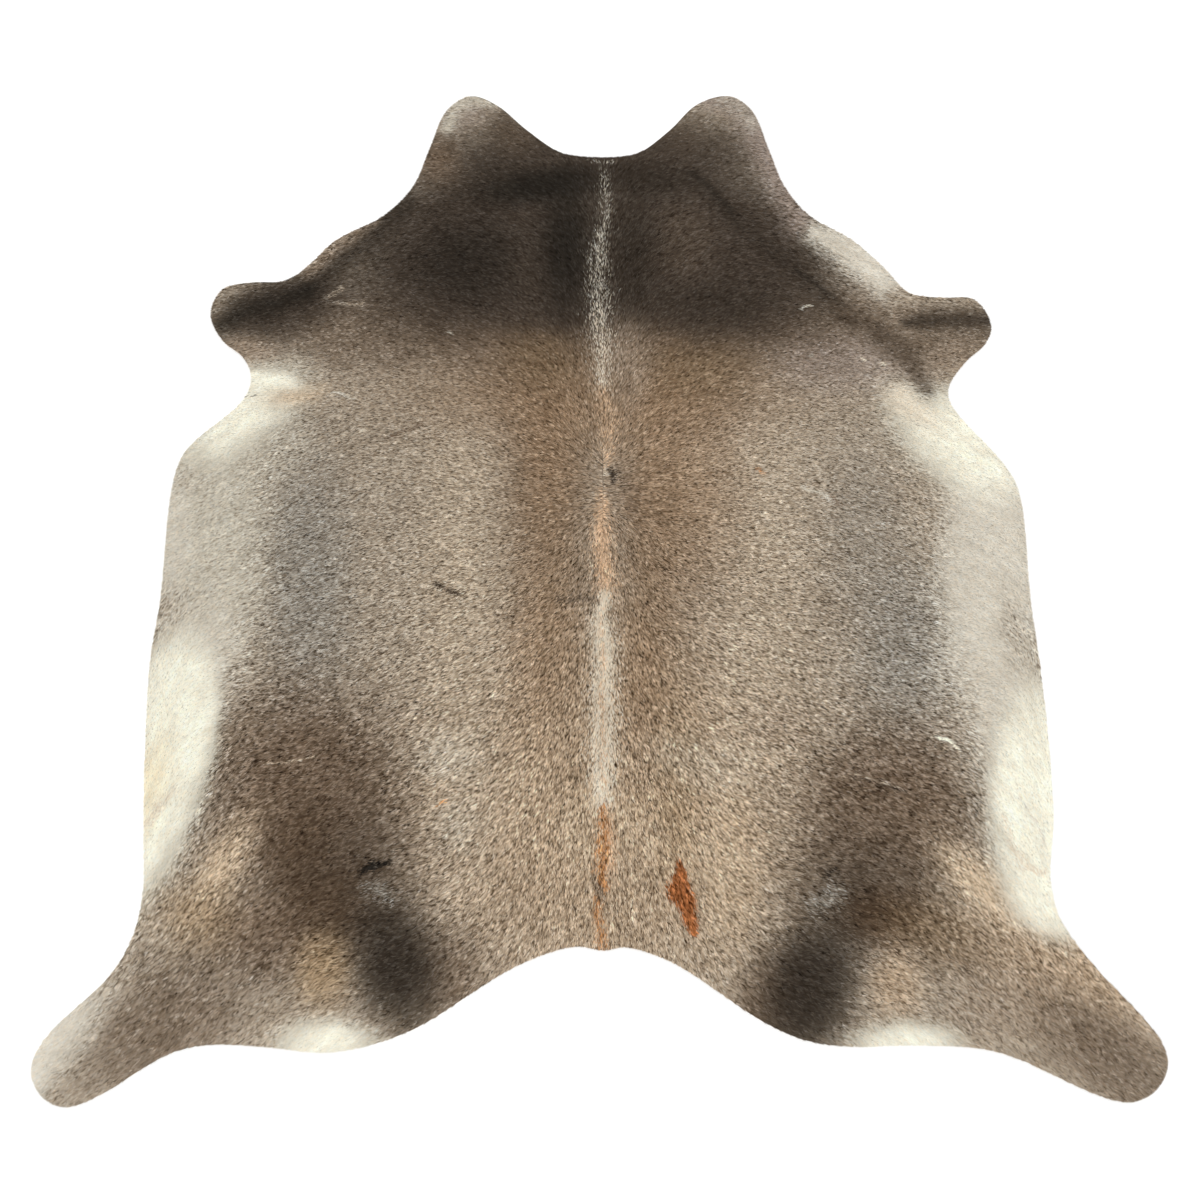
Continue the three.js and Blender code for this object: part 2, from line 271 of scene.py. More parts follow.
# Streaks and lines, mixed hair by hair: place, colour, path of (u, v, half width), strength, edge
STREAKS = [
    ("spine, crest", "silver", ((602, 166, 3), (604, 182, 7), (605, 205, 7), (603, 235, 8)), 0.28, 0.7),
    ("spine, nape", "silver", ((603, 232, 7), (599, 258, 10), (598, 285, 11), (600, 308, 12)), 0.38, 0.7),
    ("spine, withers", "cream", ((601, 312, 9), (602, 335, 13), (603, 370, 12), (604, 398, 9)), 0.42, 0.7),
    ("spine, chine", "peach", ((603, 392, 7), (606, 420, 12), (608, 455, 11), (607, 466, 5)), 0.45, 0.8),
    ("spine, back", "peach",
     ((603, 492, 5), (602, 520, 10), (604, 560, 12), (604, 592, 11), (603, 612, 7)), 0.9, 0.8),
    ("spine, loin", "cream",
     ((603, 596, 6), (603, 640, 13), (604, 700, 13),
      (603, 760, 14), (602, 800, 11), (601, 820, 5)), 0.88, 0.75),
    ("spine, loin line", "peach", ((603, 610, 3), (603, 700, 4), (603, 790, 4)), 0.45, 0.9),
    ("spine, croup", "ginger", ((602, 806, 4), (604, 835, 10), (606, 862, 10), (605, 888, 7)), 0.85, 1.0),
    ("spine, croup edge", "peach", ((606, 812, 4), (610, 845, 8), (610, 880, 5)), 0.5, 1.0),
    ("spine, dock", "ginger", ((600, 892, 5), (600, 918, 7), (600, 950, 7)), 0.55, 1.0),
    ("spine, dock break", "walnut", ((596, 882, 3), (601, 893, 5), (603, 902, 3)), 0.7, 1.1),
    ("whorl shade", "walnut", ((618, 470, 8), (628, 488, 12), (634, 506, 7)), 0.4, 1.0),
    ("whorl", "umber", ((610, 471, 3), (615, 476, 5), (614, 483, 2)), 0.8, 1.1),
    ("whorl, white", "cream", ((604, 473, 1), (607, 475, 2)), 0.7, 1.0),
    ("back mark", "bistre", ((560, 600, 4), (578, 600, 4), (594, 600, 4)), 0.5, 1.0),
    ("rust spot", "rust", ((679, 864, 3), (680, 892, 14), (688, 908, 10), (695, 934, 5)), 0.97, 2.5),
    ("black mark, left", "soot", ((364, 874, 4), (376, 868, 6), (390, 864, 3)), 0.9, 1.3),
    ("grey mark, left", "slate", ((368, 890, 8), (388, 897, 13)), 0.55, 1.0),
    ("dark spot, right", "soot", ((826, 878, 5), (833, 870, 5)), 0.7, 1.2),
    ("grey mark, right", "slate", ((815, 908, 10), (836, 894, 13)), 0.65, 1.0),
    ("scratch, left ribs", "bistre", ((435, 585, 3), (446, 592, 3), (462, 599, 2)), 0.8, 1.2),
    ("scar, right flank", "ivory", ((934, 738, 1), (948, 742, 2), (960, 752, 1)), 0.9, 1.2),
    ("scar line, right flank", "ash", ((849, 775, 1), (880, 782, 1), (906, 787, 1)), 0.8, 1.0),
    ("scar shade, right flank", "umber", ((849, 778, 1), (880, 785, 1), (904, 789, 1)), 0.7, 1.0),
    ("scratch, left flank", "wheat", ((266, 764, 1), (290, 762, 1), (312, 760, 1)), 0.8, 1.0),
    ("fleck, left shoulder", "ash", ((324, 298, 2), (342, 288, 3)), 0.6, 1.0),
    ("fleck low, left shoulder", "ash", ((334, 303, 2), (362, 305, 3)), 0.6, 1.0),
    ("fleck, left withers", "silver", ((448, 332, 1), (454, 334, 1)), 0.7, 1.0),
    ("fleck, left elbow", "pearl", ((332, 394, 1), (354, 398, 2)), 0.7, 1.0),
    ("fleck, left ribs", "cream", ((359, 434, 1), (364, 432, 2)), 0.8, 1.0),
    ("line, left ribs", "walnut", ((384, 440, 2), (400, 433, 2), (407, 431, 3), (422, 424, 2)), 0.6, 1.0),
    ("line, right ribs", "pearl", ((804, 487, 2), (820, 492, 2), (832, 500, 3)), 0.7, 1.0),
    ("line shade, right ribs", "walnut", ((832, 496, 2), (840, 505, 2)), 0.6, 1.0),
    ("fleck, right withers", "silver", ((800, 309, 1), (812, 307, 1)), 0.7, 1.0),
    ("fleck high, right shoulder", "silver", ((810, 357, 1), (815, 354, 1)), 0.7, 1.0),
    ("fleck, right shoulder", "cream", ((861, 358, 1), (865, 362, 2)), 0.7, 1.0),
    ("fleck low, right shoulder", "cream", ((880, 363, 1), (885, 365, 2)), 0.7, 1.0),
    ("hairline, left armpit", "slate", ((247, 396, 1), (256, 397, 1)), 0.8, 1.0),
    ("belly fold, left", "cream", ((146, 828, 4), (160, 808, 5), (175, 788, 3)), 0.55, 1.0),
    ("belly fold, right", "cream",
     ((1003, 815, 3), (1010, 845, 5), (1026, 868, 6), (1048, 876, 4)), 0.6, 1.0),
    ("belly line, right", "pearl", ((1020, 790, 1), (1032, 815, 2), (1044, 845, 2)), 0.6, 1.0),
    ("speck, left loin", "ginger", ((438, 807, 1), (444, 803, 2)), 0.6, 1.0),
    ("speck, right ribs", "ginger", ((759, 470, 2), (766, 474, 2)), 0.6, 1.0),
    ("notch hairs, left", "pearl", ((590, 163, 1), (598, 163, 1)), 0.5, 1.0),
    ("notch hairs, right", "pearl", ((605, 164, 1), (613, 163, 1)), 0.5, 1.0),
]

# Lay of the hair: degrees it falls towards the tail from straight out, by distance from the spine
LAY_ACROSS = (0, 125, 250, 375, 500, 625, 750, 850)
LAY = [
    ("neck", 850, (-75, -20, -5, 10, 15, 15, 15, 15)),
    ("neck base", 675, (-85, -35, -14, 20, 28, 28, 28, 28)),
    ("withers", 520, (-88, -33, -17, -4, 12, 14, 15, 15)),
    ("shoulder", 370, (-88, -30, -14, 6, 6, 10, 15, 20)),
    ("elbow", 225, (-88, -22, -10, 5, 15, 27, 38, 40)),
    ("whorl", 100, (0, 0, 2, 7, 18, 24, 35, 40)),
    ("ribs", -50, (88, 34, 16, 16, 22, 27, 33, 45)),
    ("back", -180, (88, 42, 23, 21, 24, 21, 38, 60)),
    ("loin", -300, (88, 54, 32, 30, 28, 20, 25, 77)),
    ("flank", -540, (88, 66, 40, 33, 30, 25, 53, 75)),
    ("croup", -655, (88, 74, 47, 26, 26, 45, 57, 70)),
    ("rump", -870, (88, 72, 42, 24, 27, 42, 50, 52)),
    ("hind leg", -1050, (88, 72, 45, 35, 38, 40, 42, 42)),
]

# Hair along the body: length and width of a lock, how much locks differ in shade, size of the gaps
HAIR = [
    ("lobes", 950, 8.5, 1.9, 0.24, 1.1),
    ("cape", 720, 9.5, 1.9, 0.44, 1.2),
    ("shoulder", 450, 7.0, 1.9, 0.34, 0.9),
    ("back", -50, 7.0, 1.9, 0.52, 0.85),
    ("loin", -500, 8.0, 2.1, 0.58, 1.0),
    ("rump", -850, 9.0, 2.3, 0.44, 1.1),
    ("hind legs", -1000, 9.5, 2.3, 0.22, 1.1),
]


def linear(colour):
    """Scene-linear value of a colour given as seen, 0 to 255."""
    c = np.asarray(colour, float) / 255.0
    return np.where(c <= 0.04045, c / 12.92, ((c + 0.055) / 1.055) ** 2.4)


def smooth(t):
    """Soft step from 0 to 1."""
    t = np.clip(t, 0.0, 1.0)
    return t * t * (3.0 - 2.0 * t)


def mottle(x, y, size, seed):
    """Smooth random values from -1 to 1 that change over about size millimetres."""
    lattice = np.random.default_rng(SEED + seed).uniform(-1.0, 1.0, (256, 256))
    gx, gy = np.asarray(x) / size + 1000.0, np.asarray(y) / size + 1000.0
    ix, iy = np.floor(gx).astype(int), np.floor(gy).astype(int)
    tx, ty = smooth(gx - ix), smooth(gy - iy)
    low = lattice[ix % 256, iy % 256] * (1 - tx) + lattice[(ix + 1) % 256, iy % 256] * tx
    high = lattice[ix % 256, (iy + 1) % 256] * (1 - tx) + lattice[(ix + 1) % 256, (iy + 1) % 256] * tx
    return low * (1 - ty) + high * ty


class Grid:
    """Values on an even grid over the hide, read between its points."""

    def __init__(self, low, pitch, values):
        self.low, self.pitch, self.values = low, pitch, values

    def __call__(self, x, y):
        v = self.values
        gx = np.clip((np.asarray(x) - self.low[0]) / self.pitch, 0, v.shape[0] - 1.001)
        gy = np.clip((np.asarray(y) - self.low[1]) / self.pitch, 0, v.shape[1] - 1.001)
        ix, iy = gx.astype(int), gy.astype(int)
        tx, ty = gx - ix, gy - iy
        low = v[ix, iy] * (1 - tx) + v[ix + 1, iy] * tx
        high = v[ix, iy + 1] * (1 - tx) + v[ix + 1, iy + 1] * tx
        return low * (1 - ty) + high * ty


def mesh_arrays(node):
    """Welded points, in millimetres, and triangles of a CAD node."""
    mesh = node.data
    mesh.calc_loop_triangles()
    points = np.empty(len(mesh.vertices) * 3)
    mesh.vertices.foreach_get("co", points)
    triangles = np.empty(len(mesh.loop_triangles) * 3, dtype=np.int32)
    mesh.loop_triangles.foreach_get("vertices", triangles)
    points = points.reshape(-1, 3) / MM
    welded, index = np.unique(np.round(points, 3), axis=0, return_inverse=True)
    return welded, np.asarray(index).reshape(-1)[triangles].reshape(-1, 3)


def signed_area(rim):
    """Area inside a closed outline, above zero where it runs counter-clockwise."""
    x, y = rim[:, 0], rim[:, 1]
    return 0.5 * np.sum(x * np.roll(y, -1) - np.roll(x, -1) * y)


def cut_edge(points, triangles):
    """The hide's outline: the rim of the solid's flat underside, in order, counter-clockwise."""
    under = triangles[np.all(points[triangles][:, :, 2] < 0.01, axis=1)]
    sides = np.concatenate([under[:, [0, 1]], under[:, [1, 2]], under[:, [2, 0]]])
    key = np.sort(sides, axis=1)
    _, first, count = np.unique(key, axis=0, return_index=True, return_counts=True)
    onward = {int(a): int(b) for a, b in sides[first[count == 1]]}
    start = at = next(iter(onward))
    loop = []
    while True:
        loop.append(at)
        at = onward[at]
        if at == start:
            break
    rim = points[loop][:, :2]
    return rim if signed_area(rim) > 0 else rim[::-1]


def edge_field(rim):
    """Distance to the cut edge over the hide, below zero inside it."""
    low, high = rim.min(0) - FIELD_MARGIN, rim.max(0) + FIELD_MARGIN
    gx = np.arange(low[0], high[0], FIELD_PITCH)
    gy = np.arange(low[1], high[1], FIELD_PITCH)
    x, y = np.meshgrid(gx, gy, indexing="ij")
    nearest = np.full(x.shape, 1e9)
    inside = np.zeros(x.shape, bool)
    for (ax, ay), (bx, by) in zip(rim, np.roll(rim, -1, axis=0)):
        ex, ey = bx - ax, by - ay
        t = np.clip(((x - ax) * ex + (y - ay) * ey) / (ex * ex + ey * ey), 0.0, 1.0)
        nearest = np.minimum(nearest, (x - ax - t * ex) ** 2 + (y - ay - t * ey) ** 2)
        if ay != by:
            inside ^= ((ay > y) != (by > y)) & (x < ax + ex * (y - ay) / ey)
    return Grid(low, FIELD_PITCH, np.where(inside, -1.0, 1.0) * np.sqrt(nearest))


def coat_height(points, triangles, rim):
    """Height of the hair tips over the hide, read off the CAD solid's upper face."""
    tree = BVHTree.FromPolygons([Vector(p) for p in points], triangles.tolist())
    low, high = rim.min(0) - FIELD_MARGIN, rim.max(0) + FIELD_MARGIN
    gx = np.arange(low[0], high[0], RELIEF_PITCH)
    gy = np.arange(low[1], high[1], RELIEF_PITCH)
    top = np.zeros((len(gx), len(gy)))
    for i, x in enumerate(gx):
        for j, y in enumerate(gy):
            hit = tree.ray_cast(Vector((x, y, 100.0)), Vector((0.0, 0.0, -1.0)))[0]
            top[i, j] = hit.z if hit else 0.0
    rim_height = np.median(points[points[:, 2] > 0.1][:, 2]) * 0.7
    top[top <= 0.0] = rim_height
    return Grid(low, RELIEF_PITCH, top)


def evenly(rim, pitch):
    """The outline again, its points about pitch apart."""
    closed = np.vstack([rim, rim[:1]])
    step = np.hypot(*np.diff(closed, axis=0).T)
    run = np.concatenate([[0.0], np.cumsum(step)])
    at = np.arange(0.0, run[-1] - pitch / 2, run[-1] / round(run[-1] / pitch))
    return np.column_stack([np.interp(at, run, closed[:, 0]), np.interp(at, run, closed[:, 1])])


def photo_place(x, y):
    """Where points lying on the hide, in millimetres, stand in the photo, in pixels of its frame."""
    rise = math.radians(VIEW_ELEVATION)
    lens = VIEW_LENS / VIEW_SENSOR * PHOTO_FRAME
    ahead = y * MM - VIEW_AIM[1]
    depth = VIEW_DISTANCE + ahead * math.cos(rise)
    u = 0.5 * PHOTO_FRAME + lens * (x * MM - VIEW_AIM[0]) / depth
    v = 0.5 * PHOTO_FRAME - lens * ahead * math.sin(rise) / depth
    return u, v


def path_weight(u, v, path, edge):
    """Which places are near a path of (u, v, half width) points, and how much of it they take, 0 to 1."""
    reach = 3.0 * max(half for _, _, half in path)
    ends_u, ends_v = [p[0] for p in path], [p[1] for p in path]
    near = (u > min(ends_u) - reach) & (u < max(ends_u) + reach)
    near = np.flatnonzero(near & (v > min(ends_v) - reach) & (v < max(ends_v) + reach))
    off = np.full(len(near), 1e9)
    for (u0, v0, half0), (u1, v1, half1) in zip(path, path[1:]):
        du, dv, eu, ev = u[near] - u0, v[near] - v0, u1 - u0, v1 - v0
        t = np.clip((du * eu + dv * ev) / (eu * eu + ev * ev), 0.0, 1.0)
        off = np.minimum(off, ((du - t * eu) ** 2 + (dv - t * ev) ** 2) / (half0 + t * (half1 - half0)) ** 2)
    return near, np.exp(-(off**edge))


def coat_colour(x, y, chance):
    """Colour of the coat at places on the hide, millimetres, as scene-linear values.

    Streaks mix hair by hair: a hair takes a streak's colour where its chance, 0 to 1, is under the weight.
    """
    u, v = photo_place(
        x + WIDE_WARP * mottle(x, y, WIDE_WARP_SIZE, 1) + FINE_WARP * mottle(x, y, FINE_WARP_SIZE, 2),
        y + WIDE_WARP * mottle(x, y, WIDE_WARP_SIZE, 3) + FINE_WARP * mottle(x, y, FINE_WARP_SIZE, 4),
    )
    colour = np.tile(linear(PALETTE[GROUND]), (len(x), 1))
    for _, name, pu, pv, reach_u, reach_v, turn, strength, edge in PATCHES:
        c, s = math.cos(math.radians(turn)), math.sin(math.radians(turn))
        du, up = u - pu, pv - v
        across, along = (du * c + up * s) / reach_u, (up * c - du * s) / reach_v
        weight = strength * np.exp(-((across * across + along * along) ** edge))
        colour += (linear(PALETTE[name]) - colour) * weight[:, None]
    for _, name, path, strength, edge in FOLDS:
        near, weight = path_weight(u, v, path, edge)
        colour[near] += (linear(PALETTE[name]) - colour[near]) * (strength * weight)[:, None]
    for _, name, path, strength, edge in STREAKS:
        near, weight = path_weight(u, v, path, edge)
        weight = np.clip(((1.0 + MIXING) * strength * weight - chance[near]) / MIXING, 0.0, 1.0)
        colour[near] += (linear(PALETTE[name]) - colour[near]) * weight[:, None]
    return colour


def lay_of_hair(x, y):
    """Unit direction in which the hair lies."""
    rows = sorted(LAY, key=lambda row: row[1])
    heights = np.array([row[1] for row in rows], float)
    angles = np.radians(np.array([row[2] for row in rows], float))
    out = np.abs(x - SPINE_X)
    fy = np.interp(y, heights, np.arange(len(heights)))
    fx = np.interp(out, LAY_ACROSS, np.arange(len(LAY_ACROSS)))
    iy = np.minimum(fy.astype(int), len(heights) - 2)
    ix = np.minimum(fx.astype(int), len(LAY_ACROSS) - 2)
    ty, tx = smooth(fy - iy), fx - ix
    parts = []
    for turned in (np.cos(angles), np.sin(angles)):
        near = turned[iy, ix] * (1 - tx) + turned[iy, ix + 1] * tx
        far = turned[iy + 1, ix] * (1 - tx) + turned[iy + 1, ix + 1] * tx
        parts.append(near * (1 - ty) + far * ty)
    side = np.where(x >= SPINE_X, 1.0, -1.0)
    dx, dy = side * parts[0], -parts[1]
    size = np.maximum(np.hypot(dx, dy), 1e-6)
    return dx / size, dy / size


def hair_at(y):
    """Length, width and shade spread of the locks, and size of their gaps, at a place along the body."""
    rows = sorted(HAIR, key=lambda row: row[1])
    at = [row[1] for row in rows]
    return [np.interp(y, at, [row[k] for row in rows]) for k in (2, 3, 4, 5)]


def new_mesh(name, points, faces, smooth_faces):
    """Mesh object from arrays of points, in metres, and triangles."""
    mesh = bpy.data.meshes.new(name)
    mesh.vertices.add(len(points))
    mesh.vertices.foreach_set("co", np.ascontiguousarray(points, np.float32).ravel())
    mesh.loops.add(len(faces) * 3)
    mesh.loops.foreach_set("vertex_index", np.ascontiguousarray(faces, np.int32).ravel())
    mesh.polygons.add(len(faces))
    mesh.polygons.foreach_set("loop_start", np.arange(0, len(faces) * 3, 3, dtype=np.int32))
    mesh.polygons.foreach_set("use_smooth", np.full(len(faces), smooth_faces))
    mesh.update(calc_edges=True)
    obj = bpy.data.objects.new(name, mesh)
    bpy.context.scene.collection.objects.link(obj)
    return obj


def add_colours(mesh, colours):
    layer = mesh.color_attributes.new("coat_colour", "FLOAT_COLOR", "POINT")
    rgba = np.ones((len(colours), 4), np.float32)
    rgba[:, :3] = colours
    layer.data.foreach_set("color", rgba.ravel())


def add_map(mesh, name, uv, faces):
    layer = mesh.uv_layers.new(name=name)
    layer.data.foreach_set("uv", np.ascontiguousarray(uv[faces.ravel()], np.float32).ravel())


def material(name):
    made = bpy.data.materials.new(name)
    made.use_nodes = True
    tree = made.node_tree
    return made, tree.nodes, tree.links, tree.nodes["Principled BSDF"]


def noise(nodes, scale, detail):
    made = nodes.new("ShaderNodeTexNoise")
    made.inputs["Scale"].default_value = scale
    made.inputs["Detail"].default_value = detail
    return made


def shade_by(nodes, links, colour, texture, darkest, brightest):
    """A colour multiplied by a noise texture that runs from darkest to brightest."""
    shade = nodes.new("ShaderNodeMapRange")
    for socket, value in (("From Min", 0.3), ("From Max", 0.7), ("To Min", darkest), ("To Max", brightest)):
        shade.inputs[socket].default_value = value
    mixed = nodes.new("ShaderNodeMix")
    mixed.data_type = "RGBA"
    mixed.blend_type = "MULTIPLY"
    mixed.inputs["Factor"].default_value = 1.0
    links.new(texture.outputs["Fac"], shade.inputs["Value"])
    links.new(colour, mixed.inputs["A"])
    links.new(shade.outputs["Result"], mixed.inputs["B"])
    return mixed.outputs["Result"]


def bump_by(nodes, links, shader, texture, strength, height):
    bump = nodes.new("ShaderNodeBump")
    bump.inputs["Strength"].default_value = strength
    bump.inputs["Distance"].default_value = height
    links.new(texture.outputs["Fac"], bump.inputs["Height"])
    links.new(bump.outputs["Normal"], shader.inputs["Normal"])


def set_gloss(shader, roughness, specular):
    shader.inputs["Roughness"].default_value = roughness
    shader.inputs["Specular IOR Level"].default_value = specular


def coat_material():
    """Lying hair: each lock in its own colour, with strands along it."""
    made, nodes, links, shader = material("coat_hair")
    colour = nodes.new("ShaderNodeVertexColor")
    colour.layer_name = "coat_colour"
    where = nodes.new("ShaderNodeUVMap")
    where.uv_map = "strands"
    strand = noise(nodes, 1.0, 2.0)
    strand.noise_dimensions = "2D"
    links.new(where.outputs["UV"], strand.inputs["Vector"])
    shaded = shade_by(nodes, links, colour.outputs["Color"], strand, 0.85, 1.12)
    links.new(shaded, shader.inputs["Base Color"])
    set_gloss(shader, 0.6, 0.04)
    return made


def undercoat_material():
    """The skin's hair side, seen between the locks: the coat's colour, dimmed as painted shade under the
    locks, with hair roots.
    """
    made, nodes, links, shader = material("undercoat")
    colour = nodes.new("ShaderNodeVertexColor")
    colour.layer_name = "coat_colour"
    where = nodes.new("ShaderNodeTexCoord")
    roots = noise(nodes, 420.0, 3.0)
    links.new(where.outputs["Object"], roots.inputs["Vector"])
    # Painted shade: the coat colour dimmed to 35 to 75 percent where the skin shows between the locks
    shaded = shade_by(nodes, links, colour.outputs["Color"], roots, 0.35, 0.75)
    links.new(shaded, shader.inputs["Base Color"])
    bump_by(nodes, links, shader, roots, 0.5, 0.001)
    set_gloss(shader, 0.8, 0.2)
    return made


def suede_material():
    """Flesh side and cut edge: pale napped suede."""
    made, nodes, links, shader = material("suede")
    where = nodes.new("ShaderNodeTexCoord")
    cloud = noise(nodes, 7.0, 5.0)
    nap = noise(nodes, 260.0, 4.0)
    ramp = nodes.new("ShaderNodeValToRGB")
    stops = ((0.35, (186, 168, 146)), (0.68, (214, 200, 180)))
    for stop, (position, seen) in zip(ramp.color_ramp.elements, stops):
        stop.position = position
        stop.color = (*linear(seen), 1.0)
    links.new(where.outputs["Object"], cloud.inputs["Vector"])
    links.new(where.outputs["Object"], nap.inputs["Vector"])
    links.new(cloud.outputs["Fac"], ramp.inputs["Fac"])
    shaded = shade_by(nodes, links, ramp.outputs["Color"], nap, 0.86, 1.06)
    links.new(shaded, shader.inputs["Base Color"])
    bump_by(nodes, links, shader, nap, 0.35, 0.0006)
    set_gloss(shader, 0.9, 0.2)
    shader.inputs["Sheen Weight"].default_value = 0.15
    return made


def floor_material():
    made, _, _, shader = material("floor")
    shader.inputs["Base Color"].default_value = (0.93, 0.93, 0.925, 1.0)
    set_gloss(shader, 0.9, 0.1)
    return made


def make_skin(rim, field, top):
    """The tanned skin: hair side on the solid's folds, flat flesh side, raw cut edge."""
    edge = evenly(rim, EDGE_PITCH)
    low, high = rim.min(0), rim.max(0)
    row_pitch = SKIN_PITCH * 0.866
    gx, gy = np.meshgrid(np.arange(low[0], high[0], SKIN_PITCH), np.arange(low[1], high[1], row_pitch))
    gx = gx + SKIN_PITCH * 0.5 * (np.arange(gx.shape[0]) % 2)[:, None]
    gx, gy = gx.ravel(), gy.ravel()
    keep = field(gx, gy) < -0.55 * SKIN_PITCH
    flat = np.vstack([edge, np.column_stack([gx[keep], gy[keep]])])
    ring = [(i, (i + 1) % len(edge)) for i in range(len(edge))]
    points, _, faces, _, _, _ = delaunay_2d_cdt([Vector(p) for p in flat], ring, [], 1, 1e-4)
    flat = np.array([p[:] for p in points])
    faces = np.array(faces)
    count = len(flat)
    upper = np.column_stack([flat, SKIN_SHARE * top(flat[:, 0], flat[:, 1])])
    lower = np.column_stack([flat, np.zeros(count)])
    a, b = np.array(ring).T
    wall = np.concatenate([np.column_stack([a + count, b + count, b]), np.column_stack([a + count, b, a])])
    every = np.concatenate([faces, faces[:, ::-1] + count, wall])
    skin = new_mesh("hide_skin", np.vstack([upper, lower]) * MM, every, True)
    colours = coat_colour(flat[:, 0], flat[:, 1], np.full(count, 0.5))
    add_colours(skin.data, np.vstack([colours, colours]))
    skin.data.materials.append(undercoat_material())
    skin.data.materials.append(suede_material())
    slots = np.ones(len(every), np.int32)
    slots[: len(faces)] = 0
    skin.data.polygons.foreach_set("material_index", slots)
    return skin


def nearest_gap(x, y, dx, dy, rng):
    """The nearest of the scattered gaps, which are long in the lay: which, how far along, how far aside."""
    low = (x.min() - 3 * GAP_PITCH, y.min() - 3 * GAP_PITCH)
    nx = int((x.max() - low[0]) / GAP_PITCH) + 4
    ny = int((y.max() - low[1]) / GAP_PITCH) + 4
    jitter = rng.uniform(-0.5, 0.5, (nx, ny, 2))
    cx = low[0] + (np.arange(nx)[:, None] + jitter[:, :, 0]) * GAP_PITCH
    cy = low[1] + (np.arange(ny)[None, :] + jitter[:, :, 1]) * GAP_PITCH
    ix = np.round((x - low[0]) / GAP_PITCH).astype(int)
    iy = np.round((y - low[1]) / GAP_PITCH).astype(int)
    best = np.full(len(x), 1e9)
    which = np.zeros(len(x), int)
    along, aside = np.zeros(len(x)), np.zeros(len(x))
    for ox in (-1, 0, 1):
        for oy in (-1, 0, 1):
            jx, jy = ix + ox, iy + oy
            ex, ey = x - cx[jx, jy], y - cy[jx, jy]
            on, off = ex * dx + ey * dy, ey * dx - ex * dy
            away = (GAP_STRETCH * on) ** 2 + off**2
            nearer = away < best
            best = np.where(nearer, away, best)
            which = np.where(nearer, jx * ny + jy, which)
            along, aside = np.where(nearer, on, along), np.where(nearer, off, aside)
    return which, along, aside, nx * ny


def lay_locks(rim, field, top, rng):
    """The lying locks: where each stands and points, the gap its tip is nearest to, and its three corners."""
    low, high = rim.min(0), rim.max(0)
    x, y = np.meshgrid(np.arange(low[0], high[0], LOCK_PITCH), np.arange(low[1], high[1], LOCK_PITCH))
    x = x.ravel() + rng.uniform(-0.5, 0.5, x.size) * LOCK_PITCH
    y = y.ravel() + rng.uniform(-0.5, 0.5, y.size) * LOCK_PITCH
    keep = field(x, y) < -LOCK_INSET
    x, y = x[keep], y[keep]
    count = len(x)
    length, width, contrast, gap_size = hair_at(y)
    lay_x, lay_y = lay_of_hair(x, y)
    shown_x, shown_y = x + SHOWN_AT * length * lay_x, y + SHOWN_AT * length * lay_y
    gap, along, aside, gaps = nearest_gap(shown_x, shown_y, lay_x, lay_y, rng)
    # Gap depth lowers the locks there and sets how strong the painted shade or paler hairs at the gap are
    depth = np.minimum(rng.gamma(1.6, 0.45, gaps), GAP_DEEPEST)[gap]
    depth = depth * np.exp(-((aside / GAP_HALF_WIDTH) ** 2 + (along / GAP_HALF_LENGTH) ** 2) / gap_size**2)
    turn = rng.normal(0.0, math.radians(GAP_TURN), gaps)[gap]
    turn = turn + rng.normal(0.0, math.radians(LOCK_TURN), count)
    turn += GAP_PARTING * np.sign(aside) * depth
    c, s = np.cos(turn), np.sin(turn)
    dx, dy = lay_x * c - lay_y * s, lay_x * s + lay_y * c
    length = length * rng.uniform(*LOCK_VARIES, count)
    width = width * rng.uniform(*LOCK_VARIES, count)
    for _ in range(3):
        beyond = field(x + dx * length, y + dy * length) - OVERHANG
        length = np.where(beyond > 0.0, np.maximum(length - beyond, SHORTEST_LOCK), length)
    ceiling = top(x, y)
    floor = SKIN_SHARE * ceiling
    pile = (ceiling - floor) * rng.uniform(*LOCK_RISES, count) * (1.0 - 0.15 * np.minimum(depth, 1.0))
    roll = np.tan(rng.normal(0.0, math.radians(LOCK_ROLL), count)) * width / 2
    root = np.column_stack([x, y, floor])
    side = np.column_stack([-dy * width / 2, dx * width / 2, roll])
    tip = np.column_stack([x + dx * length, y + dy * length, floor + pile])
    corners = np.stack([root - side, root + side, tip], axis=1)
    corners[:, :, 2] = np.clip(corners[:, :, 2], LOWEST_HAIR, None)
    return SimpleNamespace(
        count=count, x=x, y=y, dx=dx, dy=dy, lay_x=lay_x, lay_y=lay_y, length=length, contrast=contrast,
        gap=gap, gaps=gaps, depth=depth, corners=corners,
    )


def lock_tones(locks, light, pale, rng):
    """How much lighter or darker than its place each lock is: painted shade or paler hairs at the gaps,
    single locks, brindle and clouds.
    """
    # Dark gaps get painted shade between the hair clumps; light gaps get paler hairs
    shaded_gap = rng.uniform(0.0, 1.0, locks.gaps)[locks.gap] < 0.1 + 1.4 * light
    tone = rng.normal(0.0, TONE_SPREAD, locks.gaps)[locks.gap] + rng.normal(0.0, TONE_SPREAD, locks.count)
    tone += np.where(shaded_gap, GAP_SHADE, GAP_LIGHT) * locks.depth
    tone *= locks.contrast * (1.0 - 0.95 * pale)
    for k in range(-BRINDLE_STEPS, BRINDLE_STEPS + 1):
        along_x, along_y = k * BRINDLE_STEP * locks.lay_x, k * BRINDLE_STEP * locks.lay_y
        share = BRINDLE / (2 * BRINDLE_STEPS + 1)
        tone += share * mottle(locks.x + along_x, locks.y + along_y, BRINDLE_SIZE, 5)
    tone += CLOUD * mottle(locks.x, locks.y, CLOUD_SIZE, 6)
    return np.minimum(tone, BRIGHTEST_DARK + (BRIGHTEST - BRIGHTEST_DARK) * light)


